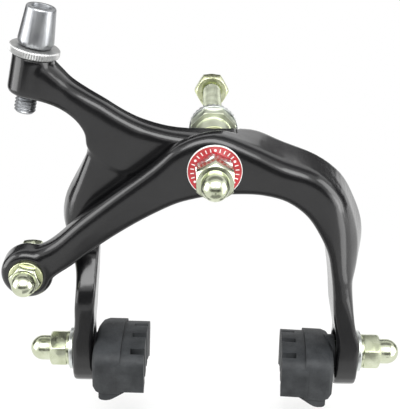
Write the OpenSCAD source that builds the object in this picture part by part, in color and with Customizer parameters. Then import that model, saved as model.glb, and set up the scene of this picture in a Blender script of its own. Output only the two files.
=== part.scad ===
// Side-pull caliper brake for a bicycle, seen from the front with +Y towards the fork or frame.
// The origin is on the pivot axis, in the rear face of the mounting washer. +Z is up.

/* [Pivot] */
// Diameter of the pivot bolt
bolt_d = 6; // [5.9:0.1:6.1]
// Length of the pivot bolt behind the mounting face
bolt_tail = 41; // [38:1:60]
// Thickness of the hub of the front arm
front_hub = 8.2; // [7.8:0.1:8.4]
// Thickness of the hub of the rear arm
rear_hub = 9.4; // [9:0.1:9.6]
// Width across flats of the pivot nuts and the lock nut
nut_af = 10; // [10:0.5:11]

/* [Arms] */
// Thickness of the front arm's cable lever
lever_depth = 7.6; // [7:0.1:7.8]
// Width of the shoe tabs along the bicycle
tab_depth = 15; // [14:0.5:16]
// Radius of the eye at the end of the cable lever
eye_r = 7.5; // [7.3:0.1:8]
// Radius of the adjuster boss
boss_r = 5.7; // [5.4:0.1:6]
// Length of the adjuster boss
boss_len = 11.6; // [11:0.1:12]
// Lean of the adjuster towards the pivot, in degrees
boss_lean = 12; // [9:1:14]

/* [Shoes] */
// Length of a brake shoe along the rim
shoe_len = 32; // [28:1:34]
// Height of the rubber block that meets the rim
block_h = 11.4; // [10:0.2:11.4]
// Radius of the curved top of a shoe
shoe_bend_r = 36; // [34:1:120]
// Tilt of the left shoe, its front end up, in degrees
left_tilt = 11; // [0:0.5:15]
// Tilt of the right shoe, its front end up, in degrees
right_tilt = 14.5; // [0:0.5:15]
// Number of grooves across a shoe
groove_count = 3; // [2:1:4]

/* [Cable fittings] */
// Height of the tapered head of the barrel adjuster
barrel_head = 10.2; // [8:0.1:12]
// Diameter of the knurled lock ring
ring_d = 13.9; // [13:0.1:14.5]
// Diameter of the cable hole in the anchor bolt
cable_hole_d = 2.2; // [2:0.1:2.4]

/* [Hidden] */
$fn = 48;

// Clearances
running = 0.05;
thread_gap = 0.02;

// Stack along the pivot, from the mounting face forwards. Y grows towards the fork.
bolt_r = bolt_d / 2;
serrated_t = 1.2;
backing_t = 1;
flange_t = 4.5;
flange_af = 13.4;
spring_block_r = 5.5;
thin_washer_t = 0.6;
badge_t = 0.8;
thin_nut_t = 3.2;
y_backing = -serrated_t;
y_flange = y_backing - backing_t;
y_block = y_flange - flange_t;
y_rear_hub_back = -16;
y_block_front = y_rear_hub_back + thin_washer_t;
y_rear_hub_front = y_rear_hub_back - rear_hub;
y_front_hub_back = y_rear_hub_front - thin_washer_t;
y_face = y_front_hub_back - front_hub;
y_badge = y_face - badge_t;
y_thin_nut = y_badge - thin_nut_t;
y_lock_nut = 33.9;
lock_nut_t = 6;

// Acorn nuts
acorn_hex = 4.9;
acorn_h = 11.2;
acorn_dome_r = 3.75;

// Shoe tabs
y_tab = y_front_hub_back;
tab_end_r = tab_depth / 2;
tab_end_z = -65.9;
left_stud_z = -63.4;
right_stud_z = -62.7;
tab_slot_top = -59.3;
tab_slot_foot = -65;
tab_slot_r = 3.15;
y_tab_front = y_tab - tab_end_r;
y_tab_back = y_tab + tab_end_r;
left_seat = 34.9;
left_tab_t = 6.2;
right_seat = 38.3;
right_tab_t = 6.7;

// Cable lever and its eye
eye = [-53, -34];
y_lever_back = y_face + lever_depth;
anchor_r = 2.5;

// Adjuster boss on the rear arm
boss_foot = [-51.8, 16.8];
y_boss = -22;
adjuster_thread_r = 3;
thread_below = 5.2;

// Hub clearance between the two arms
hub_turn_r = 8.6;
hub_clear_r = 9.4;
hub_half_h = 5.8;

// Return spring
spring_r = 1;
y_spring = -11.5;
spring_z = -4.7;

// Each rib of an arm: inner edge x and z, outer edge x and z at the front, flare of the outer
// edge at the back, y of the front, y of the back, rounding of the outer front ridge.
FRONT_RIBS = [
    [right_seat, tab_end_z, right_seat + right_tab_t, tab_end_z, 0, y_tab_front, y_tab_back, 1.2],
    [right_seat, -61, right_seat + right_tab_t, -61, 0, y_tab_front, y_tab_back, 1.2],
    [right_seat, -56.5, right_seat + right_tab_t, -56.5, 0, y_tab_front, y_tab_back, 1.2],
    [37.3, -51.5, 43.4, -51.5, 0, y_tab_front, y_tab_back, 1.3],
    [36.3, -46.5, 42.4, -46.5, 0, y_tab_front - 0.1, y_tab_back, 1.8],
    [35.4, -38.5, 41.2, -38, 1, y_tab_front - 0.3, -18, 4.5],
    [34.4, -32.1, 39, -31.3, 6.0, y_face + 0.1, -17.2, 5],
    [33, -25.8, 38.1, -24.2, 7.1, y_face + 0.1, -16.7, 5],
    [30.2, -19.8, 37.3, -16.2, 5.0, y_face + 0.1, -16.5, 5],
    [26.1, -13.8, 34.9, -8, 2.6, y_face + 0.1, -16.5, 4.5],
    [20.3, -9.5, 28.9, -1.8, 1.0, y_face + 0.1, -16.5, 4],
    [13.8, -7.7, 19.1, 1.7, 1.3, y_face + 0.1, -16.5, 4],
    [7.5, -7.4, 10.1, 6.1, 0.4, y_face + 0.1, -17, 4],
    [0, -8, -0.4, 9.9, -1, y_face + 0.1, y_front_hub_back - 0.2, 4],
    [-5.9, -9.2, -9.9, 6.9, -1, y_face + 0.1, y_lever_back - 0.2, 4],
    [-11.8, -11.3, -17.5, 0.1, -1, y_face + 0.1, y_lever_back - 0.1, 4],
    [-21.8, -17, -27.9, -8.4, -0.8, y_face + 0.1, y_lever_back, 4],
    [-32.1, -24.2, -37.9, -17.1, -0.1, y_face + 0.1, y_lever_back, 4],
    [-40, -30.7, -45.2, -23.9, 0, y_face + 0.1, y_lever_back, 4],
    [-45.2, -34.6, -50, -26.3, -0.6, y_face + 0.1, y_lever_back, 4],
    [-48.4, -38.5, -53.9, -27.5, 0, y_face + 0.1, y_lever_back - 0.1, 3.5]
];
LEG_RIBS = [
    [-left_seat, tab_end_z, -left_seat - left_tab_t, tab_end_z, 0, y_tab_front, y_tab_back, 1.5],
    [-left_seat, -61, -left_seat - left_tab_t, -61, 0, y_tab_front, y_tab_back, 1.5],
    [-left_seat, -56.5, -left_seat - left_tab_t, -56.5, 0, y_tab_front, y_tab_back, 1.5],
    [-34.4, -51.5, -40.1, -51.5, 0, y_tab_front, y_tab_back, 1.5],
    [-34, -45.5, -39.9, -45.5, 0, y_tab_front, y_tab_back, 1.5],
    [-33.5, -39.5, -39.4, -39.5, 0.8, -31.8, -18, 1.7],
    [-33.3, -35, -39.3, -35.2, 1.9, -28.6, -17.5, 2],
    [-33, -30.6, -39.9, -31, 3.1, -25.7, -17, 2.5],
    [-32.3, -26.4, -40.7, -26.2, 3, -25.4, -16.6, 3],
    [-30.8, -22.5, -41.2, -21.3, 3.2, -25.3, -16.4, 3.5],
    [-28.2, -17, -40, -14.9, 3.2, -25.1, -16.3, 4],
    [-24, -11.8, -38.2, -6.6, 0.7, -25.1, -16.3, 4],
    [-19, -9, -36.3, -0.4, -0.6, -25.1, -16.3, 4],
    [-14, -7.8, -34.6, 5.2, -1, -25.1, -16.3, 4],
    [-9, -7, -24.6, 9.4, -1, -25.1, -16.3, 4],
    [-4, -6.2, -12, 6.6, -0.8, -25.1, -16.3, 4],
    [0, -5.8, 0, 5.6, 0, -25.1, -16.3, 4]
];
HORN_RIBS = [
    [-51.4, 16.9, -49.4, 28, 0, -27.4, -17, 4],
    [-48.2, 16.1, -46.4, 27.2, 0, -27.5, -16.8, 4],
    [-44.8, 14.8, -42.6, 23.8, -0.4, -26.9, -16.7, 4.5],
    [-41.6, 12.8, -39.6, 21, -0.8, -26, -16.5, 4.5],
    [-38.5, 10, -35.3, 18.1, -1, -25.5, -16.1, 4.5],
    [-36.2, 6.2, -30.3, 15.1, -1, -25.3, -16.1, 4.5],
    [-35.4, 1.6, -25, 11.7, -1, -25.3, -16.1, 4.5],
    [-30, -4, -19.6, 9.1, -0.9, -25.3, -16.1, 4.5],
    [-22, -6.2, -12, 7, -0.8, -25.3, -16.1, 4],
    [-10, -5.9, -3, 5.7, 0, -25.3, -16.1, 4]
];
corner_steps = 3;
ridge_steps = 5;
back_round = 2;
edge_round = 1.1;

// Curve through the ribs
function curve(a, b, c, d, t) =
    0.5 * (2 * b + (c - a) * t + (2 * a - 5 * b + 4 * c - d) * t * t
        + (3 * b - a - 3 * c + d) * t * t * t);
function along(list, steps) = [
    for (i = [0 : len(list) - 2], k = [0 : steps - 1])
        curve(list[max(i - 1, 0)], list[i], list[i + 1], list[min(i + 2, len(list) - 1)],
            k / steps),
    list[len(list) - 1]
];

// A tab ends in a half round, seen from the side
function tab_end(rib, radius, centre_y) = [
    for (a = [80, 65, 50, 35, 18])
        let (drop = radius * sin(a), half = radius * cos(a))
            [rib[0], rib[1] - drop, rib[2], rib[3] - drop, 0, centre_y - half, centre_y + half,
                rib[7]]
];

function unit(v) = v / max(norm(v), 0.001);
function rounded_corner(before, at, after, size, steps, reach = 0.4) =
    let (p = at + unit(before - at) * min(size, norm(before - at) * reach),
        q = at + unit(after - at) * min(size, norm(after - at) * reach))
        [for (k = [0 : steps]) let (t = k / steps)
            p * (1 - t) * (1 - t) + at * 2 * t * (1 - t) + q * t * t];

// Section of an arm at one rib, as points in space; a flared outer face has a crease
function section(rib) =
    let (inner = [rib[0], 0, rib[1]], outer = [rib[2], 0, rib[3]],
        out = unit(outer - inner), f = [0, rib[5], 0], b = [0, rib[6], 0],
        front = outer + f, back = outer + b + out * rib[4],
        bulge = max(0, min(1, rib[4] / 3)), at = 0.65 - 0.3 * bulge,
        crease = outer + f * (1 - at) + b * at + out * rib[4] * (at + 0.2 * bulge),
        c = [inner + f, front, crease, back, inner + b])
        concat(
            rounded_corner(c[4], c[0], c[1], edge_round, corner_steps),
            rounded_corner(c[0], c[1], c[2], rib[7], ridge_steps, 0.66),
            rounded_corner(c[1], c[2], c[3], 0.5, 1),
            rounded_corner(c[2], c[3], c[4], back_round, corner_steps),
            rounded_corner(c[3], c[4], c[0], edge_round, corner_steps));

// Skin over a list of closed rings with the same number of points
module skin(rings, flip) {
    n = len(rings[0]);
    last = len(rings) - 1;
    sides = [
        for (i = [0 : last - 1], k = [0 : n - 1])
            let (a = i * n + k, b = i * n + (k + 1) % n, c = b + n, d = a + n)
                each [[a, b, c], [a, c, d]]
    ];
    caps = [[for (k = [n - 1 : -1 : 0]) k], [for (k = [0 : n - 1]) last * n + k]];
    faces = concat(sides, caps);
    polyhedron([for (r = rings) each r],
        flip ? [for (f = faces) [for (k = [len(f) - 1 : -1 : 0]) f[k]]] : faces, convexity = 10);
}

// Round bar or hole along Y, from y0 to y1
module bar_y(r, y0, y1) {
    translate([0, y0, 0])
        rotate([-90, 0, 0])
            cylinder(r = r, h = y1 - y0);
}

// Slot along Z through x0 to x1, as wide as its radius says
module slot_z(r, x0, x1) {
    translate([x0, y_tab, 0])
        rotate([0, 90, 0])
            for (z = [tab_slot_foot, tab_slot_top])
                translate([-z, 0, 0])
                    cylinder(r = r, h = x1 - x0);
    translate([x0, y_tab - r, tab_slot_foot])
        cube([x1 - x0, 2 * r, tab_slot_top - tab_slot_foot]);
}

// Slot for a shoe stud through a tab, with a flat seat milled on each side of it
module tab_slot(inside, outside) {
    way = sign(outside - inside);
    slot_z(tab_slot_r, min(inside, outside) - 4, max(inside, outside) + 4);
    slot_z(6.6, outside + min(0, way * 4), outside + max(0, way * 4));
    slot_z(5.4, inside + min(0, way * -4), inside + max(0, way * -4));
}

// Peg on the back of an arm that the return spring pushes on
module spring_peg(x, z) {
    translate([x, 0, z])
        bar_y(2, -19, y_spring + 2.2);
}

peg_x = 36;
peg_z = -21.5;

module front_arm() {
    color("#1c1c1e")
        difference() {
            union() {
                skin(concat(
                    [for (r = tab_end(FRONT_RIBS[0], tab_end_r, y_tab)) section(r)],
                    [for (r = along(FRONT_RIBS, 4)) section(r)]), true);
                bar_y(6.9, y_face + 0.3, y_front_hub_back);
                translate([eye[0], y_lever_back, eye[1]])
                    rotate([90, 0, 0])
                        rotate_extrude()
                            polygon([[0, 0], [eye_r - 0.8, 0], [eye_r, 0.8],
                                [eye_r, lever_depth - 1.6], [eye_r - 0.5, lever_depth - 0.6],
                                [eye_r - 1.4, lever_depth], [0, lever_depth]]);
                spring_peg(peg_x, peg_z);
            }
            bar_y(bolt_r + running, y_face - 1, 0);
            bar_y(hub_clear_r, y_front_hub_back, 0);
            translate([eye[0], 0, eye[1]])
                bar_y(anchor_r + running, y_face - 1, 0);
            tab_slot(right_seat, right_seat + right_tab_t);
        }
}

module rear_arm() {
    color("#1c1c1e")
        difference() {
            union() {
                skin(concat(
                    [for (r = tab_end(LEG_RIBS[0], tab_end_r, y_tab)) section(r)],
                    [for (r = along(LEG_RIBS, 3)) section(r)]), false);
                skin([for (r = along(HORN_RIBS, 4)) section(r)], false);
                intersection() {
                    bar_y(hub_turn_r, y_rear_hub_front, y_rear_hub_back);
                    translate([-20, -40, -hub_half_h])
                        cube([40, 40, 2 * hub_half_h]);
                }
                adjuster_axis()
                    rotate_extrude()
                        polygon([[0, 0], [boss_r - 1.2, 0], [boss_r - 0.4, 0.4], [boss_r, 1.2],
                            [boss_r, boss_len - 0.6], [boss_r - 0.6, boss_len], [0, boss_len]]);
                spring_peg(-peg_x, peg_z);
            }
            bar_y(bolt_r + running, -40, 0);
            adjuster_axis()
                translate([0, 0, -1])
                    cylinder(r = adjuster_thread_r + running, h = boss_len + 2);
            tab_slot(-left_seat, -left_seat - left_tab_t);
        }
}

// Places a child so that its +Z runs up the adjuster from the foot of the boss
module adjuster_axis() {
    translate([boss_foot[0], y_boss, boss_foot[1]])
        rotate([0, boss_lean, 0])
            children();
}

module pivot_bolt() {
    color("#c9cdb2")
        difference() {
            union() {
                bar_y(bolt_r, y_thin_nut - acorn_hex - 1.5, bolt_tail - 1);
                translate([0, bolt_tail - 1, 0])
                    rotate([-90, 0, 0])
                        cylinder(r1 = bolt_r, r2 = bolt_r - 0.8, h = 1);
                translate([0, y_block, 0])
                    rotate([-90, 22.5, 0])
                        intersection() {
                            cylinder(d = flange_af / cos(22.5), h = flange_t, $fn = 8);
                            cylinder(r1 = flange_af / 2 + 0.3, r2 = flange_af / 2 + 5.3, h = 5);
                        }
                bar_y(spring_block_r, y_block_front, y_block);
            }
            translate([-8, y_spring - spring_r - 0.1, spring_z + spring_r + 0.1 - 6])
                cube([16, 2 * spring_r + 0.2, 6]);
        }
}

// The spring is one wire: under the bolt through the block, then a leg down behind each arm
SPRING_HALF = [
    [0, y_spring, spring_z], [6, y_spring, spring_z], [12, -11.7, spring_z - 0.2],
    [18, -12.4, -6.2], [24, -12.9, -10.2], [29, -13, -15.4], [32, -13, -21], [32.8, -13, -26]
];
spring_half_curve = along(SPRING_HALF, 5);
spring_path = concat(
    [for (k = [len(spring_half_curve) - 1 : -1 : 1])
        [-spring_half_curve[k][0], spring_half_curve[k][1], spring_half_curve[k][2]]],
    spring_half_curve);
spring_sides = 9;

module return_spring() {
    n = len(spring_path);
    color("#b9bcbb")
        skin([for (i = [0 : n - 1])
            let (t = unit(spring_path[min(i + 1, n - 1)] - spring_path[max(i - 1, 0)]),
                u = unit(cross(t, [0, 1, 0])), v = cross(t, u))
                [for (k = [0 : spring_sides - 1]) let (a = 360 * k / spring_sides)
                    spring_path[i] + spring_r * (cos(a) * u + sin(a) * v)]], false);
}

// Washer with teeth round its rim, along +Z
module toothed_ring(outer, inner, tooth, count, h) {
    difference() {
        linear_extrude(h)
            polygon([for (k = [0 : 2 * count - 1])
                let (r = outer - (k % 2) * tooth, a = 180 * k / count) [r * cos(a), r * sin(a)]]);
        translate([0, 0, -1])
            cylinder(r = inner, h = h + 2);
    }
}

module plain_ring(outer, inner, h) {
    difference() {
        cylinder(r = outer, h = h);
        translate([0, 0, -1])
            cylinder(r = inner, h = h + 2);
    }
}

module serrated_washer() {
    color("#d3d6d2")
        translate([0, 0, 0])
            rotate([90, 0, 0])
                toothed_ring(7.4, bolt_r + running, 0.3, 32, serrated_t);
}

module backing_washer() {
    color("#cfd2c6")
        translate([0, y_backing, 0])
            rotate([90, 0, 0])
                plain_ring(7.4, bolt_r + running, backing_t);
}

module rear_arm_washer() {
    color("#c2a65a")
        translate([0, y_block_front, 0])
            rotate([90, 0, 0])
                plain_ring(6, bolt_r + running, thin_washer_t);
}

module middle_washer() {
    color("#c2a65a")
        translate([0, y_rear_hub_front, 0])
            rotate([90, 0, 0])
                plain_ring(6, bolt_r + running, thin_washer_t);
}

module badge_washer() {
    color("#b3202c")
        translate([0, y_face, 0])
            rotate([90, 0, 0])
                plain_ring(7.5, bolt_r + running, badge_t);
}

// Hexagon with chamfered ends, along +Z
module chamfered_hex(af, h, both) {
    corner = af / cos(30) / 2;
    chamfer = 0.55;
    intersection() {
        cylinder(r = corner, h = h, $fn = 6);
        translate([0, 0, both ? 0 : -corner])
            cylinder(r1 = af / 2 - 0.1, r2 = af / 2 - 0.1 + 2 * corner, h = 2 * corner);
        translate([0, 0, h - 2 * corner])
            cylinder(r1 = af / 2 - 0.1 + 2 * corner, r2 = af / 2 - 0.1, h = 2 * corner);
    }
}

// Domed nut along +Z with a blind threaded hole
module acorn_nut(af, hex_h, total_h, dome_r, hole_r) {
    straight = total_h - dome_r - hex_h;
    difference() {
        union() {
            chamfered_hex(af, hex_h, false);
            rotate_extrude()
                union() {
                    translate([0, hex_h - 0.5])
                        square([dome_r, straight + 0.5]);
                    translate([0, hex_h + straight])
                        intersection() {
                            circle(r = dome_r);
                            square(dome_r);
                        }
                }
        }
        translate([0, 0, -1])
            cylinder(r = hole_r, h = hex_h + 3);
    }
}

module pivot_thin_nut() {
    color("#c9cbc0")
        translate([0, y_badge, 0])
            rotate([90, 22, 0])
                difference() {
                    chamfered_hex(nut_af, thin_nut_t, true);
                    translate([0, 0, -1])
                        cylinder(r = bolt_r + thread_gap, h = thin_nut_t + 2);
                }
}

module pivot_acorn_nut() {
    color("#d5dcc0")
        translate([0, y_thin_nut, 0])
            rotate([90, 30, 0])
                acorn_nut(nut_af, acorn_hex, acorn_h, acorn_dome_r, bolt_r + thread_gap);
}

module mounting_lock_nut() {
    collar_h = 1.8;
    insert_r = 4;
    color("#cfd07e")
        translate([0, y_lock_nut, 0])
            rotate([-90, 0, 0])
                difference() {
                    union() {
                        chamfered_hex(nut_af, lock_nut_t - collar_h, true);
                        rotate_extrude()
                            polygon([[0, 0.6], [4.8, 0.6], [4.8, lock_nut_t - 0.8],
                                [4.2, lock_nut_t], [0, lock_nut_t]]);
                    }
                    translate([0, 0, -1])
                        cylinder(r = bolt_r + thread_gap, h = lock_nut_t + 2);
                    translate([0, 0, lock_nut_t - collar_h - 0.4])
                        cylinder(r = insert_r, h = collar_h + 2);
                }
}

module lock_nut_insert() {
    color("#e4e6e0")
        translate([0, y_lock_nut + 3.9, 0])
            rotate([-90, 0, 0])
                plain_ring(3.97, bolt_r + thread_gap, 1.7);
}

// Cable anchor: head behind the lever with a cross hole, washer and small domed nut in front
anchor_head_h = 7;
module anchor_bolt() {
    color("#c9cdb2")
        difference() {
            union() {
                translate([eye[0], 0, eye[1]])
                    bar_y(anchor_r, y_face - 4.4, y_lever_back + 1);
                translate([eye[0], y_lever_back, eye[1]])
                    rotate([-90, 0, 0])
                        chamfered_hex(9, anchor_head_h, true);
            }
            translate([eye[0], y_lever_back + anchor_head_h / 2, eye[1] - 8])
                cylinder(d = cable_hole_d, h = 16);
        }
}

module anchor_washer() {
    color("#d8d6a8")
        translate([eye[0], y_face, eye[1]])
            rotate([90, 0, 0])
                plain_ring(4.9, anchor_r + running, 0.9);
}

module anchor_acorn_nut() {
    color("#cfdcc8")
        translate([eye[0], y_face - 0.9, eye[1]])
            rotate([90, 12, 0])
                acorn_nut(8, 2.6, 7.4, 3.4, anchor_r + thread_gap);
}

// Barrel adjuster: hollow threaded stem, then the tapered head with the seat for the housing
ring_h = 2.4;
module barrel_adjuster() {
    head_foot = boss_len + ring_h + 0.5;
    head_top = head_foot + barrel_head;
    color("#c4c6c8")
        adjuster_axis()
            difference() {
                rotate_extrude()
                    polygon([[0, -thread_below], [2.5, -thread_below], [3, 0.4 - thread_below],
                        [3, head_foot - 0.8], [3.9, head_foot - 0.8], [4.5, head_foot - 0.4],
                        [4.9, head_foot + 0.4], [4.95, head_foot + 1], [4.05, head_top - 0.4],
                        [3.75, head_top], [0, head_top]]);
                translate([0, 0, -thread_below - 1])
                    cylinder(r = 1.25, h = 40);
                translate([0, 0, head_top - 8])
                    cylinder(r = 2.65, h = 10);
            }
}

module adjuster_lock_ring() {
    color("#d7d8d8")
        adjuster_axis()
            translate([0, 0, boss_len])
                toothed_ring(ring_d / 2, adjuster_thread_r + running, 0.35, 36, ring_h - 0.4);
}

// Brake shoe along local X, its back at x = 0 and its rim face at positive x
seat_gap = 0.05;
seat_r = 5;
seat_t = 0.8;
back_t = 9;
shoe_t = 16;
left_toe = -1;
right_toe = 4;
left_lift = 1;
right_lift = -1.8;
back_h = block_h + 1.6;
end_lean = 13;
end_soft = 3.5;
end_drop = pow(shoe_len / 2, 2) / shoe_bend_r / 2;
hollow_r = shoe_bend_r * 0.85;
stud_plate_r = 3.8;
stud_plate_t = 1.6;

// Side view of a shoe: curved top, soft upper corners and ends that lean inwards
function shoe_outline(height, inset) =
    let (half = shoe_len / 2 - inset, top = height / 2 - inset, u = half - 0.66 * end_soft,
        fall = atan(u / shoe_bend_r), c = [u - end_soft * sin(fall),
            top - u * u / shoe_bend_r / 2 - end_soft * cos(fall)],
        foot = -height / 2 - 0.85 * end_drop + inset,
        wall = [c[0] + end_soft * cos(end_lean), c[1] - end_soft * sin(end_lean)],
        corner = [wall[0] - tan(end_lean) * (wall[1] - foot), foot],
        arc = [for (k = [0 : 8]) let (v = u * k / 8) [v, top - v * v / shoe_bend_r / 2]],
        round = [for (k = [1 : 5]) let (a = 90 - fall - k / 5 * (90 - fall + end_lean))
            c + end_soft * [cos(a), sin(a)]],
        side = concat(arc, round, [corner]))
        concat(side, [for (k = [len(side) - 1 : -1 : 1]) [-side[k][0], side[k][1]]]);

// Slab of a shoe from x0 to x1, with its side view in Y and Z
module shoe_slab(x0, x1, height, inset) {
    translate([x0, 0, 0])
        rotate([90, 0, 90])
            linear_extrude(x1 - x0)
                polygon(shoe_outline(height, inset));
}

module shoe_hollow(height) {
    translate([-1, 0, -height / 2 - hollow_r])
        rotate([0, 90, 0])
            cylinder(r = hollow_r, h = shoe_t + 3, $fn = 96);
}

groove_pitch = 8.5;
first_groove = 4.4;
groove_w = 2.5;
groove_depth = 4.2;
stud_r = 2.95;
module brake_shoe(toe, tilt, lift) {
    color("#55575a")
        difference() {
            union() {
                rotate([0, 90, 0])
                    translate([0, 0, seat_gap])
                        cylinder(r = seat_r, h = seat_t + 2);
                translate([0, 0, lift])
                    rotate([-tilt, 0, toe])
                        difference() {
                            union() {
                                difference() {
                                    hull() {
                                        shoe_slab(seat_t, seat_t + 0.1, back_h, 1.9);
                                        shoe_slab(seat_t + 1, seat_t + 1.1, back_h, 0.6);
                                        shoe_slab(seat_t + 2.6, back_t, back_h, 0);
                                    }
                                    shoe_hollow(back_h);
                                }
                                difference() {
                                    shoe_slab(back_t - 1, shoe_t, block_h, 0);
                                    shoe_hollow(block_h);
                                }
                                shoe_lug();
                            }
                            for (k = [0 : groove_count - 1])
                                let (a = (first_groove - k * groove_pitch) / shoe_bend_r * 180 / PI)
                                    translate([0, 0, block_h / 2 - shoe_bend_r])
                                        rotate([-a, 0, 0])
                                            translate([shoe_t - groove_depth, -groove_w / 2,
                                                    shoe_bend_r - 2 * block_h])
                                                cube([groove_depth + 1, groove_w, 3 * block_h]);
                        }
            }
            rotate([0, 90, 0])
                translate([0, 0, -1])
                    cylinder(r = stud_r, h = 5);
            rotate([0, 90, 0])
                translate([0, 0, 3])
                    cylinder(r = stud_plate_r, h = stud_plate_t);
        }
}

// Rounded lug under the front end of a shoe
module shoe_lug() {
    foot = -back_h / 2 - 0.85 * end_drop;
    translate([0, -8, foot])
        rotate([90, 0, 0])
            linear_extrude(5.4)
                polygon([[2.9, 2], [2.6, 0], [2.6, -1.3], [2.9, -1.8], [3.6, -2.1], [4.8, -2.2],
                    [6, -2], [7.2, -1.4], [9, -0.3], [11, 0.9], [11, 2]]);
}

// Stud with its plate moulded into the shoe, reaching out to negative x
module shoe_stud(tab_t) {
    color("#c9cdb2")
        rotate([0, 90, 0])
            union() {
                translate([0, 0, -tab_t - stack_t - acorn_hex - 1.5])
                    cylinder(r = stud_r, h = tab_t + stack_t + acorn_hex + 5);
                translate([0, 0, 3])
                    cylinder(r = stud_plate_r, h = stud_plate_t);
            }
}

shoe_washer_t = 1.1;
spring_washer_t = 1;
stack_t = seat_gap + shoe_washer_t + spring_washer_t;

// Places a child at the back of a shoe, with local +x towards the rim
module at_left_shoe() {
    translate([-left_seat, y_tab, left_stud_z])
        children();
}
module at_right_shoe() {
    translate([right_seat, y_tab, right_stud_z])
        mirror([1, 0, 0])
            children();
}

// Pieces outside a tab, from the tab outwards along local -x
module shoe_washer(tab_t) {
    color("#cdd0cc")
        translate([-tab_t - seat_gap, 0, 0])
            rotate([0, -90, 0])
                plain_ring(6.3, bolt_r + running, shoe_washer_t);
}

module shoe_spring_washer(tab_t) {
    color("#c3c8c0")
        translate([-tab_t - seat_gap - shoe_washer_t, 0, 0])
            rotate([0, -90, 0])
                difference() {
                    plain_ring(5.2, bolt_r + running, spring_washer_t);
                    rotate([0, 20, 30])
                        translate([0, -0.4, -2])
                            cube([8, 0.8, 6]);
                }
}

module shoe_acorn_nut(tab_t) {
    color("#d5dcc0")
        translate([-tab_t - stack_t, 0, 0])
            rotate([0, -90, 0])
                acorn_nut(nut_af, acorn_hex, acorn_h, acorn_dome_r, bolt_r + thread_gap);
}

front_arm();
rear_arm();
pivot_bolt();
return_spring();
serrated_washer();
backing_washer();
rear_arm_washer();
middle_washer();
badge_washer();
pivot_thin_nut();
pivot_acorn_nut();
mounting_lock_nut();
lock_nut_insert();
anchor_bolt();
anchor_washer();
anchor_acorn_nut();
barrel_adjuster();
adjuster_lock_ring();
at_left_shoe() brake_shoe(left_toe, left_tilt, left_lift);  // left_brake_shoe
at_left_shoe() shoe_stud(left_tab_t);  // left_shoe_stud
at_left_shoe() shoe_washer(left_tab_t);  // left_shoe_washer
at_left_shoe() shoe_spring_washer(left_tab_t);  // left_shoe_spring_washer
at_left_shoe() shoe_acorn_nut(left_tab_t);  // left_shoe_acorn_nut
at_right_shoe() brake_shoe(right_toe, right_tilt, right_lift);  // right_brake_shoe
at_right_shoe() shoe_stud(right_tab_t);  // right_shoe_stud
at_right_shoe() shoe_washer(right_tab_t);  // right_shoe_washer
at_right_shoe() shoe_spring_washer(right_tab_t);  // right_shoe_spring_washer
at_right_shoe() shoe_acorn_nut(right_tab_t);  // right_shoe_acorn_nut
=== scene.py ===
import math

import bmesh
import bpy
from mathutils import Matrix, Vector


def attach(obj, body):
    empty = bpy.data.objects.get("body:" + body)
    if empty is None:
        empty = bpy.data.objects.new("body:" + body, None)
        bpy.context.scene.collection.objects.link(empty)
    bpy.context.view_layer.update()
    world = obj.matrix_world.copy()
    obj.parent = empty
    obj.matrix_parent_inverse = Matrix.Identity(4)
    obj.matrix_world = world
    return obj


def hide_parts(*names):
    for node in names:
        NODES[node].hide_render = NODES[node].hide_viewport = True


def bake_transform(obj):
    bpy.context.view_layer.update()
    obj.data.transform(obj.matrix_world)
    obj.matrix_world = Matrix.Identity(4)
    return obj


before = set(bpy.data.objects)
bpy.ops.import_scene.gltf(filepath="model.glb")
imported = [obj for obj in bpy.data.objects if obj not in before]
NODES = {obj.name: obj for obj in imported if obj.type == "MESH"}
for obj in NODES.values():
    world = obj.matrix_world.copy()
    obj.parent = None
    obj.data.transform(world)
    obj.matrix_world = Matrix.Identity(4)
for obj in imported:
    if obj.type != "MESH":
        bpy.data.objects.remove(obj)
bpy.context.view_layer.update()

bl_info = {
    "name": "Side-pull caliper brake",
    "version": (1, 0, 0),
    "blender": (4, 5, 0),
    "location": "View3D > Sidebar > Brake",
    "description": "Builds the finished pieces of a side-pull caliper brake around its CAD frame",
    "category": "Object",
}

MM = 0.001

# Every place and size here is in millimetres, and every angle in degrees

# The pivot bolt, which points back along +Y. Its plain end is cut off and a thread put on
BOLT_R = 3.0
BOLT_CUT_Y = 1.0
BOLT_THREAD_Y = 0.4
BOLT_END_Y = 41.0

# Both threads. The flat at crest and root is a share of the thread's slope
THREAD_PITCH = 1.0
THREAD_DEPTH = 0.5
THREAD_CHAMFER = 0.6
THREAD_FLAT = 0.1
FACETS_PER_TURN = 32
ROWS_PER_PITCH = 8

# The enamelled badge and the marks on it, of which every fifth is a dot
BADGE_FACE_Y = -35.0
BADGE_R = 7.5
BADGE_EDGE = 0.06
BADGE_RIM = 0.12
BADGE_SINK = 0.04
MARK_AT_R = 6.15
MARK_T = 0.08
MARK_SINK = 0.05
DOT_R = 0.36
DOT_SIDES = 16
DOT_EVERY = 5
TICK_SIZE = (0.2687, 1.0253)
TICK_SIDES = 4
SQUARE_R = math.sqrt(0.5)
FRONT_NORMAL_Y = -0.99

# The barrel adjuster, which leans to the right, its threaded stem and its lock ring
ADJUSTER_FOOT = (-51.8, -22.0, 16.8)
ADJUSTER_LEAN = 12.0
BARREL_CUT = 0.5
BARREL_EDGE = 0.12
STEM_R = 3.0
STEM_BELOW = 5.2
STEM_LENGTH = 5.8
RING_R = 6.95
RING_PLAY = 0.05
RING_EDGE = 0.35
RING_KNURL = 0.3

# The arms. They are smoothed in passes, and from this height up more than on the shoe tabs
ARM_VOXEL = 0.45
SMOOTH_STEP = 0.5
TAB_PASSES = 2
SOFT_FROM_Z = -50.0
SOFT_FADE = 8.0

# Rounded edges, the angles that count as an edge or as flat, and gaps that are closed
WASHER_EDGE = 0.1
SHOE_EDGE = 0.3
BEVEL_ABOVE = 30.0
FLAT_BELOW = 1.5
CAD_MERGE = 0.002
THREAD_MERGE = 0.003


# Materials

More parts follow.
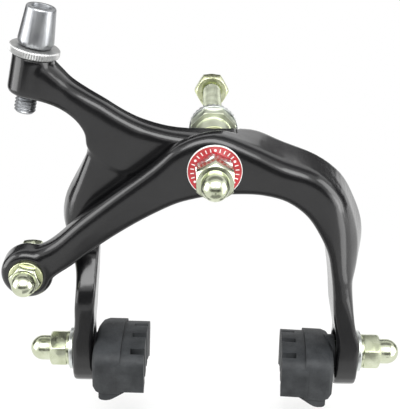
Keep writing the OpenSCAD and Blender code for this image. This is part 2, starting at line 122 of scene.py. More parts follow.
# The colour sockets of a Mix node share their names with its other sockets
MIX_FIRST = 6
MIX_SECOND = 7
MIX_RESULT = 2


def linear(hex_colour):
    """An sRGB hex colour as the linear RGBA that shader sockets take."""
    text = hex_colour.lstrip("#")
    channels = [int(text[i:i + 2], 16) / 255 for i in (0, 2, 4)]
    return tuple(
        c / 12.92 if c <= 0.04045 else ((c + 0.055) / 1.055) ** 2.4 for c in channels
    ) + (1.0,)


def grey(value):
    return (value, value, value, 1.0)


def per_mm(size_mm):
    """Pattern scale, per metre of Object coordinates, for a feature of this size."""
    return 1.0 / (size_mm * MM)


def stops(low, high, low_at=0.3, high_at=0.7):
    """The two ends of a colour ramp. Most of a noise pattern lies between 0.3 and 0.7."""
    return ((low_at, low), (high_at, high))


def add(tree, kind, settings=None, links=None):
    """Adds one node. Settings are sockets, properties or a colour ramp's stops, by name.
    Links are other nodes' outputs, by the input that each one goes to."""
    node = tree.nodes.new(kind)
    for name, value in (settings or {}).items():
        if name == "stops":
            for point, (position, colour) in zip(node.color_ramp.elements, value):
                point.position = position
                point.color = colour
        elif isinstance(name, int) or name in node.inputs:
            node.inputs[name].default_value = value
        else:
            setattr(node, name, value)
    for name, source in (links or {}).items():
        tree.links.new(source, node.inputs[name])
    return node


def new_material(name):
    """An empty material, its node tree, and the Object coordinates that its patterns read."""
    material = bpy.data.materials.new(name)
    material.use_nodes = True
    tree = material.node_tree
    tree.nodes.clear()
    place = add(tree, "ShaderNodeTexCoord").outputs["Object"]
    return material, tree, place


def gloss_black_paint():
    """Stove enamel on a forged arm: deep black, a soft gloss, faint orange peel, a few specks."""
    looks = bpy.context.scene.brake_looks
    material, tree, place = new_material("gloss_black_paint")
    mottle = add(tree, "ShaderNodeTexNoise", {"Scale": per_mm(9.0), "Detail": 3.0},
                 {"Vector": place})
    enamel_shade = add(tree, "ShaderNodeValToRGB",
                       {"stops": stops(looks.paint_dark, looks.paint_light)},
                       {"Fac": mottle.outputs["Fac"]})
    specks = add(tree, "ShaderNodeTexVoronoi", {"Scale": per_mm(7.0)}, {"Vector": place})
    speck_mask = add(tree, "ShaderNodeValToRGB",
                     {"stops": stops(grey(0.7), grey(0.0), 0.012, 0.028)},
                     {"Fac": specks.outputs["Distance"]})
    specked = add(tree, "ShaderNodeMix", {"data_type": "RGBA", MIX_SECOND: linear("#8c8c88")},
                  {"Factor": speck_mask.outputs["Color"], MIX_FIRST: enamel_shade.outputs["Color"]})
    fine = add(tree, "ShaderNodeTexNoise",
               {"Scale": per_mm(0.7), "Detail": 4.0, "Roughness": 0.6}, {"Vector": place})
    gloss = add(tree, "ShaderNodeValToRGB", {"stops": stops(grey(0.19), grey(0.24))},
                {"Fac": fine.outputs["Fac"]})
    orange_peel = add(tree, "ShaderNodeTexNoise", {"Scale": per_mm(2.5), "Detail": 1.0},
                      {"Vector": place})
    relief = add(tree, "ShaderNodeBump", {"Strength": 0.15, "Distance": 0.01 * MM},
                 {"Height": orange_peel.outputs["Fac"]})
    shader = add(tree, "ShaderNodeBsdfPrincipled",
                 {"Metallic": 0.0, "IOR": 1.5, "Coat Weight": 0.3, "Coat Roughness": 0.08},
                 {"Base Color": specked.outputs[MIX_RESULT], "Roughness": gloss.outputs["Color"],
                  "Normal": relief.outputs["Normal"]})
    add(tree, "ShaderNodeOutputMaterial", links={"Surface": shader.outputs["BSDF"]})
    return material


def zinc_plate(name, dark, light, rough):
    """Zinc plate on steel: a thin tint that drifts across the part, and soft tool marks."""
    material, tree, place = new_material(name)
    drift = add(tree, "ShaderNodeTexNoise", {"Scale": per_mm(4.0)}, {"Vector": place})
    tint = add(tree, "ShaderNodeValToRGB", {"stops": stops(linear(dark), linear(light))},
               {"Fac": drift.outputs["Fac"]})
    wear = add(tree, "ShaderNodeTexNoise", {"Scale": per_mm(1.2)}, {"Vector": place})
    gloss = add(tree, "ShaderNodeValToRGB",
                {"stops": stops(grey(rough - 0.04), grey(rough + 0.06))},
                {"Fac": wear.outputs["Fac"]})
    tool_marks = add(tree, "ShaderNodeTexNoise", {"Scale": per_mm(1.6)}, {"Vector": place})
    relief = add(tree, "ShaderNodeBump", {"Strength": 0.12, "Distance": 0.015 * MM},
                 {"Height": tool_marks.outputs["Fac"]})
    shader = add(tree, "ShaderNodeBsdfPrincipled", {"Metallic": 1.0},
                 {"Base Color": tint.outputs["Color"], "Roughness": gloss.outputs["Color"],
                  "Normal": relief.outputs["Normal"]})
    add(tree, "ShaderNodeOutputMaterial", links={"Surface": shader.outputs["BSDF"]})
    return material


def turned_aluminium():
    """Turned aluminium: the lathe tool's rings along the adjuster's own axis draw its
    highlights out. The real rings are finer; these are as coarse as the render needs."""
    material, tree, place = new_material("turned_aluminium")
    on_axis = add(tree, "ShaderNodeMapping", {
        "vector_type": "TEXTURE", "Location": [c * MM for c in ADJUSTER_FOOT],
        "Rotation": (0.0, math.radians(ADJUSTER_LEAN), 0.0)}, {"Vector": place})
    # The wave texture's own period is pi / 10, so this scale gives one ring every 0.45 mm
    rings = add(tree, "ShaderNodeTexWave", {
        "wave_type": "BANDS", "bands_direction": "Z", "Scale": per_mm(0.45) * math.pi / 10,
        "Distortion": 0.4, "Detail": 1.0}, {"Vector": on_axis.outputs["Vector"]})
    drift = add(tree, "ShaderNodeTexNoise", {"Scale": per_mm(3.0)}, {"Vector": place})
    tint = add(tree, "ShaderNodeValToRGB", {"stops": stops(linear("#989a9d"), linear("#a8aaac"))},
               {"Fac": drift.outputs["Fac"]})
    gloss = add(tree, "ShaderNodeValToRGB", {"stops": stops(grey(0.31), grey(0.38))},
                {"Fac": rings.outputs["Fac"]})
    relief = add(tree, "ShaderNodeBump", {"Strength": 0.12, "Distance": 0.003 * MM},
                 {"Height": rings.outputs["Fac"]})
    shader = add(tree, "ShaderNodeBsdfPrincipled", {"Metallic": 1.0},
                 {"Base Color": tint.outputs["Color"], "Roughness": gloss.outputs["Color"],
                  "Normal": relief.outputs["Normal"]})
    add(tree, "ShaderNodeOutputMaterial", links={"Surface": shader.outputs["BSDF"]})
    return material


def knurled_aluminium():
    """Knurled, etched aluminium: pale and nearly matt, with soft drift from the etch."""
    material, tree, place = new_material("knurled_aluminium")
    drift = add(tree, "ShaderNodeTexNoise", {"Scale": per_mm(1.8), "Detail": 3.0},
                {"Vector": place})
    tint = add(tree, "ShaderNodeValToRGB", {"stops": stops(linear("#b2b3b2"), linear("#c9c9c8"))},
               {"Fac": drift.outputs["Fac"]})
    gloss = add(tree, "ShaderNodeValToRGB", {"stops": stops(grey(0.42), grey(0.52))},
                {"Fac": drift.outputs["Fac"]})
    etch = add(tree, "ShaderNodeTexNoise", {"Scale": per_mm(0.5)}, {"Vector": place})
    relief = add(tree, "ShaderNodeBump", {"Strength": 0.2, "Distance": 0.01 * MM},
                 {"Height": etch.outputs["Fac"]})
    shader = add(tree, "ShaderNodeBsdfPrincipled", {"Metallic": 1.0},
                 {"Base Color": tint.outputs["Color"], "Roughness": gloss.outputs["Color"],
                  "Normal": relief.outputs["Normal"]})
    add(tree, "ShaderNodeOutputMaterial", links={"Surface": shader.outputs["BSDF"]})
    return material


def moulded_rubber():
    """Moulded brake rubber: matt dark grey, fine mould grain, pale dust in patches, and painted
    shade that darkens each groove and seam."""
    looks = bpy.context.scene.brake_looks
    material, tree, place = new_material("moulded_rubber")
    dust = add(tree, "ShaderNodeTexNoise",
               {"Scale": per_mm(5.0), "Detail": 4.0, "Roughness": 0.6}, {"Vector": place})
    dusty = add(tree, "ShaderNodeValToRGB",
                {"stops": stops(looks.rubber_dark, looks.rubber_light)},
                {"Fac": dust.outputs["Fac"]})
    # Ambient occlusion darkens the colour in each groove and crease: this is painted shade.
    painted_groove_shade = add(tree, "ShaderNodeAmbientOcclusion", {"Distance": 2.5 * MM},
                  {"Color": dusty.outputs["Color"]})
    grain = add(tree, "ShaderNodeTexNoise",
                {"Scale": per_mm(0.45), "Detail": 4.0, "Roughness": 0.65}, {"Vector": place})
    gloss = add(tree, "ShaderNodeValToRGB", {"stops": stops(grey(0.5), grey(0.68))},
                {"Fac": grain.outputs["Fac"]})
    relief = add(tree, "ShaderNodeBump", {"Strength": 0.45, "Distance": 0.03 * MM},
                 {"Height": grain.outputs["Fac"]})
    shader = add(tree, "ShaderNodeBsdfPrincipled",
                 {"Metallic": 0.0, "IOR": 1.5, "Specular IOR Level": 0.3},
                 {"Base Color": painted_groove_shade.outputs["Color"], "Roughness": gloss.outputs["Color"],
                  "Normal": relief.outputs["Normal"]})
    add(tree, "ShaderNodeOutputMaterial", links={"Surface": shader.outputs["BSDF"]})
    return material


def enamel(name, dark, light):
    """Baked enamel on the badge: deep colour under a clear gloss."""
    material, tree, place = new_material(name)
    drift = add(tree, "ShaderNodeTexNoise", {"Scale": per_mm(3.0)}, {"Vector": place})
    tint = add(tree, "ShaderNodeValToRGB", {"stops": stops(dark, light)},
               {"Fac": drift.outputs["Fac"]})
    ripple = add(tree, "ShaderNodeTexNoise", {"Scale": per_mm(0.8)}, {"Vector": place})
    relief = add(tree, "ShaderNodeBump", {"Strength": 0.2, "Distance": 0.01 * MM},
                 {"Height": ripple.outputs["Fac"]})
    shader = add(tree, "ShaderNodeBsdfPrincipled", {
        "Metallic": 0.0, "Roughness": 0.35, "IOR": 1.5, "Coat Weight": 0.8,
        "Coat Roughness": 0.08},
        {"Base Color": tint.outputs["Color"], "Normal": relief.outputs["Normal"]})
    add(tree, "ShaderNodeOutputMaterial", links={"Surface": shader.outputs["BSDF"]})
    return material


def red_enamel():
    """The red face of the badge."""
    looks = bpy.context.scene.brake_looks
    return enamel("red_enamel", looks.badge_dark, looks.badge_light)


def nylon():
    """Milky nylon ring of the lock nut, which lets a little light in."""
    material, tree, place = new_material("nylon")
    cloud = add(tree, "ShaderNodeTexNoise", {"Scale": per_mm(1.5)}, {"Vector": place})
    tint = add(tree, "ShaderNodeValToRGB", {"stops": stops(linear("#d8dad4"), linear("#eceee8"))},
               {"Fac": cloud.outputs["Fac"]})
    gloss = add(tree, "ShaderNodeValToRGB", {"stops": stops(grey(0.38), grey(0.5))},
                {"Fac": cloud.outputs["Fac"]})
    shader = add(tree, "ShaderNodeBsdfPrincipled",
                 {"Metallic": 0.0, "IOR": 1.53, "Subsurface Weight": 0.1},
                 {"Base Color": tint.outputs["Color"], "Roughness": gloss.outputs["Color"]})
    add(tree, "ShaderNodeOutputMaterial", links={"Surface": shader.outputs["BSDF"]})
    return material


MAKERS = {
    "black": gloss_black_paint,
    "zinc": lambda: zinc_plate("bright_zinc", "#bfc5a8", "#dbe0c8", 0.22),
    "satin_zinc": lambda: zinc_plate("satin_zinc", "#c4cab0", "#dde2ce", 0.34),
    "thread_zinc": lambda: zinc_plate("thread_zinc", "#85897a", "#a3a795", 0.4),
    "disc_zinc": lambda: zinc_plate("blue_zinc", "#cdd2d0", "#e8ebe8", 0.3),
    "yellow_zinc": lambda: zinc_plate("yellow_zinc", "#d0d7a4", "#eaeeca", 0.3),
    "spring_wire": lambda: zinc_plate("drawn_wire", "#8f9291", "#b7bab8", 0.32),
    "aluminium": turned_aluminium,
    "knurled": knurled_aluminium,
    "rubber": moulded_rubber,
    "badge_red": red_enamel,
    "badge_white": lambda: enamel("white_enamel", linear("#cfd0ce"), linear("#e2e3e1")),
    "nylon": nylon,
}
FINISHES = {}


def finish(name):
    """Each finish is made once, when it is first asked for."""
    if name not in FINISHES:
        FINISHES[name] = MAKERS[name]()
    return FINISHES[name]


# Modelling


def activate(piece):
    """Makes this piece the only one selected, in object mode."""
    if bpy.context.object and bpy.context.object.mode != "OBJECT":
        bpy.ops.object.mode_set(mode="OBJECT")
    bpy.ops.object.select_all(action="DESELECT")
    piece.hide_set(False)
    piece.select_set(True)
    bpy.context.view_layer.objects.active = piece


def modify(piece, kind, **settings):
    """Adds a modifier and applies it."""
    activate(piece)
    modifier = piece.modifiers.new(kind.lower(), kind)
    for key, value in settings.items():
        setattr(modifier, key, value)
    bpy.ops.object.modifier_apply(modifier=modifier.name)


def copy_of(node, name):
    """A copy of a CAD node with its loose triangles merged."""
    piece = bpy.data.objects.new(name, NODES[node].data.copy())
    bpy.context.scene.collection.objects.link(piece)
    piece.data.materials.clear()
    activate(piece)
    bpy.ops.object.mode_set(mode="EDIT")
    bpy.ops.mesh.select_all(action="SELECT")
    bpy.ops.mesh.remove_doubles(threshold=CAD_MERGE * MM)
    bpy.ops.object.mode_set(mode="OBJECT")
    return piece


def whole_faces(piece):
    """Makes each flat face one polygon again, so that only real edges are bevelled."""
    activate(piece)
    bpy.ops.object.mode_set(mode="EDIT")
    bpy.ops.mesh.select_all(action="SELECT")
    bpy.ops.mesh.dissolve_limited(angle_limit=math.radians(FLAT_BELOW))
    bpy.ops.object.mode_set(mode="OBJECT")


def smooth(piece, degrees=38.0):
    activate(piece)
    bpy.ops.object.shade_smooth_by_angle(angle=math.radians(degrees))


def rounded(piece, width_mm, segments=2):
    modify(piece, "BEVEL", width=width_mm * MM, segments=segments, limit_method="ANGLE",
           angle_limit=math.radians(BEVEL_ABOVE), harden_normals=False, use_clamp_overlap=True)


def paint(piece, finish_name):
    piece.data.materials.clear()
    piece.data.materials.append(finish(finish_name))
    for face in piece.data.polygons:
        face.material_index = 0


def hand_over(piece, body, node):
    """The finished piece takes the place of a CAD node and moves with its body."""
    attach(piece, body)
    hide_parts(node)


def stand_on(origin_mm, direction):
    """The matrix that takes a piece built along +Z to a point, along a direction."""
    turn = Vector(direction).to_track_quat("Z", "Y").to_matrix().to_4x4()
    return Matrix.Translation(Vector(origin_mm) * MM) @ turn


def threaded_rod(name, radius, length, place):
    """A closed rod along +Z with a helical V thread and chamfered ends, then put in place.
    A flat grid is rolled up so that each of its rows climbs one pitch in a turn."""
    turns = math.ceil(length / THREAD_PITCH) + 1
    bpy.ops.object.select_all(action="DESELECT")
    bpy.ops.mesh.primitive_grid_add(
        x_subdivisions=FACETS_PER_TURN, y_subdivisions=turns * ROWS_PER_PITCH, size=1.0)
    piece = bpy.context.object
    piece.name = name
    for vertex in piece.data.vertices:
        turn = vertex.co.x + 0.5
        row = round((vertex.co.y + 0.5) * turns * ROWS_PER_PITCH)
        along = min(max((row / ROWS_PER_PITCH + turn - 1.0) * THREAD_PITCH, 0.0), length)
        groove = 1.0 - abs(2.0 * (row % ROWS_PER_PITCH) / ROWS_PER_PITCH - 1.0)
        chamfer = 1.0 - min(along, length - along) / THREAD_CHAMFER
        cut = (1.0 + 2.0 * THREAD_FLAT) * max(groove, chamfer) - THREAD_FLAT
        reach = radius - THREAD_DEPTH * min(max(cut, 0.0), 1.0)
        angle = 2.0 * math.pi * turn
        vertex.co = Vector((reach * math.cos(angle), reach * math.sin(angle), along)) * MM
    bpy.ops.object.mode_set(mode="EDIT")
    bpy.ops.mesh.select_all(action="SELECT")
    bpy.ops.mesh.remove_doubles(threshold=THREAD_MERGE * MM)
    bpy.ops.mesh.select_all(action="DESELECT")
    bpy.ops.mesh.select_mode(type="EDGE")
    bpy.ops.mesh.select_non_manifold()
    bpy.ops.mesh.fill_holes(sides=0)
    bpy.ops.mesh.select_all(action="SELECT")
    bpy.ops.mesh.normals_make_consistent(inside=False)
    bpy.ops.object.mode_set(mode="OBJECT")
    piece.data.transform(place)
    smooth(piece, degrees=45.0)
    return piece


def knurled_ring(name, height, teeth, place):
    """A ring along +Z with straight knurling and broken edges, then put in place.
    The corners of a plain torus are moved to the corners of the ring's section."""
    bore = STEM_R + RING_PLAY
    inner = RING_R - RING_EDGE
    section = ((RING_R, RING_EDGE), (RING_R, height - RING_EDGE), (inner, height),
               (bore, height), (bore, 0.0), (inner, 0.0))
    outer_corners = 2
    torus_r = 1.0
    tube_r = 0.1
    bpy.ops.object.select_all(action="DESELECT")
    bpy.ops.mesh.primitive_torus_add(major_segments=2 * teeth, minor_segments=len(section),
                                     major_radius=torus_r, minor_radius=tube_r)
    piece = bpy.context.object
    piece.name = name
    for vertex in piece.data.vertices:
        turn = math.atan2(vertex.co.y, vertex.co.x)
        around = math.atan2(vertex.co.z, math.hypot(vertex.co.x, vertex.co.y) - torus_r)
        corner = round(around * len(section) / (2.0 * math.pi)) % len(section)
        reach, rise = section[corner]
        in_valley = round(turn * teeth / math.pi) % 2 == 1
        if in_valley and corner < outer_corners:
            reach -= RING_KNURL
        vertex.co = Vector((reach * math.cos(turn), reach * math.sin(turn), rise)) * MM
    piece.data.transform(place)
    smooth(piece, degrees=30.0)
    return piece


def delete_where(piece, test):
    """Deletes the vertices that pass a test and closes the hole that is left."""
    activate(piece)
    bpy.ops.object.mode_set(mode="EDIT")
    bpy.ops.mesh.select_mode(type="VERT")
    bpy.ops.mesh.select_all(action="DESELECT")
    mesh = bmesh.from_edit_mesh(piece.data)
    for vertex in mesh.verts:
        vertex.select = test(vertex.co / MM)
    mesh.select_flush_mode()
    bmesh.update_edit_mesh(piece.data)
    bpy.ops.mesh.delete(type="VERT")
    bpy.ops.mesh.select_all(action="SELECT")
    bpy.ops.mesh.select_non_manifold()
    bpy.ops.mesh.fill_holes(sides=0)
    bpy.ops.object.mode_set(mode="OBJECT")


def join(piece, *others):
    activate(piece)
    for other in others:
        other.select_set(True)
    bpy.ops.object.join()


# Settings


class BrakeLooks(bpy.types.PropertyGroup):
    paint_dark: bpy.props.FloatVectorProperty(
        name="Paint, dark", description="Darker shade of the arms' paint",
        default=linear("#0b0b0c"), size=4, min=0.0, max=1.0, subtype="COLOR")
    paint_light: bpy.props.FloatVectorProperty(
        name="Paint, light", description="Lighter shade of the arms' paint",
        default=linear("#121213"), size=4, min=0.0, max=1.0, subtype="COLOR")
    rubber_dark: bpy.props.FloatVectorProperty(
        name="Rubber, dark", description="Darker shade of the shoes",
        default=linear("#1f2123"), size=4, min=0.0, max=1.0, subtype="COLOR")
    rubber_light: bpy.props.FloatVectorProperty(
        name="Rubber, light", description="Lighter shade of the shoes",
        default=linear("#343638"), size=4, min=0.0, max=1.0, subtype="COLOR")
    badge_dark: bpy.props.FloatVectorProperty(
        name="Badge, dark", description="Darker shade of the badge's face",
        default=linear("#93101a"), size=4, min=0.0, max=1.0, subtype="COLOR")
    badge_light: bpy.props.FloatVectorProperty(
        name="Badge, light", description="Lighter shade of the badge's face",
        default=linear("#b31c27"), size=4, min=0.0, max=1.0, subtype="COLOR")
    badge_marks: bpy.props.IntProperty(
        name="Badge marks", description="How many ticks and dots stand round the badge",
        default=30, min=5, max=60)
    ring_teeth: bpy.props.IntProperty(
        name="Ring teeth", description="How many knurls the lock ring has",
        default=60, min=12, max=120)
    arm_softness: bpy.props.IntProperty(
        name="Arm softness", description="How far the forged edges are softened, in passes",
        default=8, min=0, max=40)
    nut_edge: bpy.props.FloatProperty(
        name="Nut edge", description="Rounding of the nuts' edges", default=0.16 * MM,
        min=0.0, max=0.5 * MM, precision=5, subtype="DISTANCE", unit="LENGTH")


class StageSettings(bpy.types.PropertyGroup):
    floor: bpy.props.FloatVectorProperty(
        name="Floor", description="Colour of the floor", default=linear("#f4f4f2"), size=4,
        min=0.0, max=1.0, subtype="COLOR")
    key_power: bpy.props.FloatProperty(
        name="Key light", description="Power of the softbox above and in front",
        default=2.2, min=0.0, max=100.0, subtype="POWER", unit="POWER")
    fill_power: bpy.props.FloatProperty(
        name="Fill light", description="Power of each side softbox",
        default=0.7, min=0.0, max=100.0, subtype="POWER", unit="POWER")
    edge_power: bpy.props.FloatProperty(
        name="Edge light", description="Power of the low softbox beside the right leg",
        default=0.06, min=0.0, max=10.0, subtype="POWER", unit="POWER")
    top_power: bpy.props.FloatProperty(
        name="Top light", description="Power of the light straight above",
        default=2.0, min=0.0, max=100.0, subtype="POWER", unit="POWER")
    world_strength: bpy.props.FloatProperty(
        name="World", description="Strength of the even light from all round",
        default=0.35, min=0.0, max=5.0)


# Pieces


class BRAKE_OT_arms(bpy.types.Operator):
    """Makes the two painted arms"""
    bl_idname = "brake.arms"
    bl_label = "Arms"

    def execute(self, context):
        passes = context.scene.brake_looks.arm_softness
        for node in ("front_arm", "rear_arm"):
            arm = copy_of(node, "painted_" + node)
            modify(arm, "REMESH", mode="VOXEL", voxel_size=ARM_VOXEL * MM)
            modify(arm, "SMOOTH", factor=SMOOTH_STEP, iterations=TAB_PASSES)
            soft = arm.vertex_groups.new(name="above the shoe tab")
            for vertex in arm.data.vertices:
                weight = (vertex.co.z / MM - SOFT_FROM_Z) / SOFT_FADE
                if weight > 0.0:
                    soft.add([vertex.index], min(weight, 1.0), "REPLACE")
            modify(arm, "SMOOTH", factor=SMOOTH_STEP, iterations=passes, vertex_group=soft.name)
            smooth(arm, degrees=180.0)
            paint(arm, "black")
            hand_over(arm, node, node)
        return {"FINISHED"}


class BRAKE_OT_pivot_bolt(bpy.types.Operator):
    """Makes the pivot bolt with its thread"""
    bl_idname = "brake.pivot_bolt"
    bl_label = "Pivot bolt"

    def execute(self, context):
        bolt = copy_of("pivot_bolt", "threaded_pivot_bolt")
        whole_faces(bolt)
        delete_where(bolt, lambda point: point.y > BOLT_CUT_Y)
        rounded(bolt, context.scene.brake_looks.nut_edge / MM)
        smooth(bolt)
        thread = threaded_rod("bolt_thread", BOLT_R, BOLT_END_Y - BOLT_THREAD_Y,
                              stand_on((0, BOLT_THREAD_Y, 0), (0, 1, 0)))
        paint(bolt, "satin_zinc")
        paint(thread, "thread_zinc")
        join(bolt, thread)
        hand_over(bolt, "pivot", "pivot_bolt")
        return {"FINISHED"}


class BRAKE_OT_washers(bpy.types.Operator):
    """Makes the washers on the pivot bolt"""
    bl_idname = "brake.washers"
    bl_label = "Pivot washers"

    def execute(self, context):
        for node, look, slot in (
                ("serrated_washer", "disc_zinc", "zinc_steel"),
                ("backing_washer", "disc_zinc", "zinc_steel"),
                ("rear_arm_washer", "yellow_zinc", "yellow_zinc"),
                ("middle_washer", "yellow_zinc", "yellow_zinc")):
            washer = copy_of(node, "finished_" + node)
            whole_faces(washer)
            rounded(washer, WASHER_EDGE)
            smooth(washer)
            paint(washer, look)
            hand_over(washer, "pivot", node)
        return {"FINISHED"}


class BRAKE_OT_spring(bpy.types.Operator):
    """Makes the return spring, one leg for each arm"""
    bl_idname = "brake.spring"
    bl_label = "Return spring"

    def execute(self, context):
        for side, arm, way in (("left", "rear_arm", -1), ("right", "front_arm", 1)):
            leg = copy_of("return_spring", side + "_spring_leg")
            activate(leg)
            bpy.ops.object.mode_set(mode="EDIT")
            bpy.ops.mesh.select_all(action="SELECT")
            bpy.ops.mesh.bisect(plane_co=(0, 0, 0), plane_no=(way, 0, 0), use_fill=True,
                                clear_inner=True)
            bpy.ops.object.mode_set(mode="OBJECT")
            smooth(leg, degrees=60.0)
            paint(leg, "spring_wire")
            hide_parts("return_spring")
            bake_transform(leg)
        return {"FINISHED"}


class BRAKE_OT_badge(bpy.types.Operator):
    """Makes the plain red badge with its white rim and marks"""
    bl_idname = "brake.badge"
    bl_label = "Badge"

    def execute(self, context):
        badge = copy_of("badge_washer", "enamel_badge")
        whole_faces(badge)
        rounded(badge, BADGE_EDGE)
        activate(badge)
        bpy.ops.object.mode_set(mode="EDIT")
        bpy.ops.mesh.select_mode(type="FACE")
        bpy.ops.mesh.select_all(action="DESELECT")
        mesh = bmesh.from_edit_mesh(badge.data)
        for face in mesh.faces:
            face.select = face.normal.y < FRONT_NORMAL_Y
        bmesh.update_edit_mesh(badge.data)
        bpy.ops.mesh.inset(thickness=BADGE_RIM * MM, depth=-BADGE_SINK * MM)
        bpy.ops.object.mode_set(mode="OBJECT")
        smooth(badge)
        for look in ("badge_white", "badge_red"):
            badge.data.materials.append(finish(look))
        for face in badge.data.polygons:
            reach = max(math.hypot(corner.x, corner.z) for corner in
                        (badge.data.vertices[i].co / MM for i in face.vertices))
            face.material_index = 1 if reach < BADGE_R - BADGE_RIM else 0
        count = context.scene.brake_looks.badge_marks
        marks = [self.mark(2.0 * math.pi * k / count, k % DOT_EVERY == 0) for k in range(count)]
        join(badge, *marks)
        hand_over(badge, "pivot", "badge_washer")
        return {"FINISHED"}

    def mark(self, turn, is_dot):
        """One mark, this far round the badge: a dot, or a unit square stretched to a tick."""
        if is_dot:
            sides, radius, first_corner, stretch = DOT_SIDES, DOT_R, 0.0, (1.0, 1.0)
        else:
            sides, radius, first_corner, stretch = TICK_SIDES, SQUARE_R, math.pi / 4, TICK_SIZE
        bpy.ops.object.select_all(action="DESELECT")
        bpy.ops.mesh.primitive_cylinder_add(vertices=sides, radius=radius * MM,
                                            depth=MARK_T * MM, rotation=(0.0, 0.0, first_corner))
        mark = bpy.context.object
        mark.data.transform(mark.matrix_world)
        mark.matrix_world = Matrix.Identity(4)
        mark.data.transform(
            Matrix.Rotation(turn, 4, "Y")
            @ Matrix.Translation(Vector((0.0, BADGE_FACE_Y + MARK_SINK, MARK_AT_R)) * MM)
            @ Matrix.Rotation(math.pi / 2, 4, "X") @ Matrix.Diagonal((*stretch, 1.0, 1.0)))
        mark.data.materials.append(finish("badge_white"))
        return mark


class BRAKE_OT_nuts(bpy.types.Operator):
    """Makes the plated nuts, the cable anchor, and the studs and washers of the shoes"""
    bl_idname = "brake.nuts"
    bl_label = "Nuts and fittings"

    def execute(self, context):
        edge = context.scene.brake_looks.nut_edge / MM
        plated = [
            ("pivot_thin_nut", "pivot", "disc_zinc", "zinc_steel"),
            ("pivot_acorn_nut", "pivot", "zinc", "zinc_steel"),
            ("mounting_lock_nut", "pivot", "yellow_zinc", "yellow_zinc"),
            ("lock_nut_insert", "pivot", "nylon", "nylon"),
            ("anchor_bolt", "cable_anchor", "zinc", "zinc_steel"),
            ("anchor_washer", "cable_anchor", "yellow_zinc", "yellow_zinc"),
            ("anchor_acorn_nut", "cable_anchor", "zinc", "zinc_steel"),
        ]
        for side in ("left", "right"):
            plated += [
                (side + "_shoe_washer", side + "_clamp", "disc_zinc", "zinc_steel"),
                (side + "_shoe_spring_washer", side + "_clamp", "zinc", "zinc_steel"),
                (side + "_shoe_acorn_nut", side + "_clamp", "zinc", "zinc_steel"),
                (side + "_shoe_stud", side + "_shoe", "zinc", "zinc_steel"),
            ]
        for node, body, look, slot in plated:
            piece = copy_of(node, "finished_" + node)
            whole_faces(piece)
            rounded(piece, edge)
            smooth(piece)
            paint(piece, look)
            hand_over(piece, body, node)
        return {"FINISHED"}


class BRAKE_OT_adjuster(bpy.types.Operator):
    """Makes the turned barrel adjuster and its knurled lock ring"""
    bl_idname = "brake.adjuster"
    bl_label = "Barrel adjuster"

    def execute(self, context):
        lean = math.radians(ADJUSTER_LEAN)
        axis = Vector((math.sin(lean), 0.0, math.cos(lean)))
        foot = Vector(ADJUSTER_FOOT)
        barrel = copy_of("barrel_adjuster", "turned_barrel_adjuster")
        whole_faces(barrel)
        rounded(barrel, BARREL_EDGE)
        smooth(barrel, degrees=30.0)
        delete_where(barrel, lambda point: (point - foot).dot(axis) < BARREL_CUT)
        stem = threaded_rod("stem_thread", STEM_R, STEM_LENGTH,
                            stand_on(foot - axis * STEM_BELOW, axis))
        join(barrel, stem)
        paint(barrel, "aluminium")
        hand_over(barrel, "adjuster", "barrel_adjuster")
        rises = [(vertex.co / MM - foot).dot(axis)
                 for vertex in NODES["adjuster_lock_ring"].data.vertices]
        ring = knurled_ring("knurled_lock_ring", max(rises) - min(rises),
                            context.scene.brake_looks.ring_teeth,
                            stand_on(foot + axis * min(rises), axis))
        paint(ring, "knurled")
        hand_over(ring, "lock_ring", "adjuster_lock_ring")
        return {"FINISHED"}


class BRAKE_OT_shoes(bpy.types.Operator):
    """Makes the two moulded rubber shoes"""
    bl_idname = "brake.shoes"
    bl_label = "Shoes"

    def execute(self, context):
        for side in ("left", "right"):
            shoe = copy_of(side + "_brake_shoe", "moulded_%s_shoe" % side)
            whole_faces(shoe)
            rounded(shoe, SHOE_EDGE, segments=3)
            smooth(shoe, degrees=40.0)
            paint(shoe, "rubber")
            hand_over(shoe, side + "_shoe", side + "_brake_shoe")
        return {"FINISHED"}


# Stage

# The camera fitted to the photograph, whose long side is 409 pixels
CAMERA_PLACE = (-6.208, -265.931, 97.861)
CAMERA_ELEVATION = 25.0
CAMERA_AZIMUTH = 0.6
CAMERA_ROLL = 1.35
CAMERA_CLIP = (10.0, 20000.0)
FOCAL_PX = 928.0
LONG_SIDE_PX = 409.0
SENSOR = 36.0

# The floor reaches further behind the brake than in front, and is shaded near it
FLOOR_Z = -90.0
FLOOR_SIZE = 3000.0
FLOOR_BACK = 400.0
SHADOW_REACH = 150.0

# Softboxes: name, place, aim, size, and the setting that holds the power
SOFTBOXES = (
    ("overhead", (0, -300, 300), (0, 0, -20), (520, 260), "key_power"),
    ("left_side", (-340, -100, 60), (0, -10, -20), (220, 300), "fill_power"),
    ("right_side", (340, -100, 60), (0, -10, -20), (220, 300), "fill_power"),
    ("low_right", (150, -95, -48), (45, -25, -25), (70, 110), "edge_power"),
    ("top_fill", (0, 0, 350), (0, 0, 0), (300, 300), "top_power"),
)
UNREFLECTED = ("top_fill",)

# Flags, the dim cards that gloss reflects: name, place, aim, size, and how bright they look
FLAGS = (
    ("back_flag", (-185, 220, 45), (-185, -20, 0), (430, 110), 0.02),
    ("back_right_flag", (205, 220, 45), (205, -20, 0), (210, 110), 0.1),
    ("leg_flag", (8, -120, -88), (8, -120, 0), (128, 95), 0.35),
    ("right_flag", (350, 150, -10), (0, -20, 0), (190, 190), 0.05),
    ("left_flag", (-350, 150, -10), (0, -20, 0), (190, 190), 0.05),
    ("front_flag", (0, -400, 0), (0, -20, 0), (700, 170), 0.05),
    ("top_flag", (0, 140, 400), (0, -20, 0), (900, 300), 0.25),
)


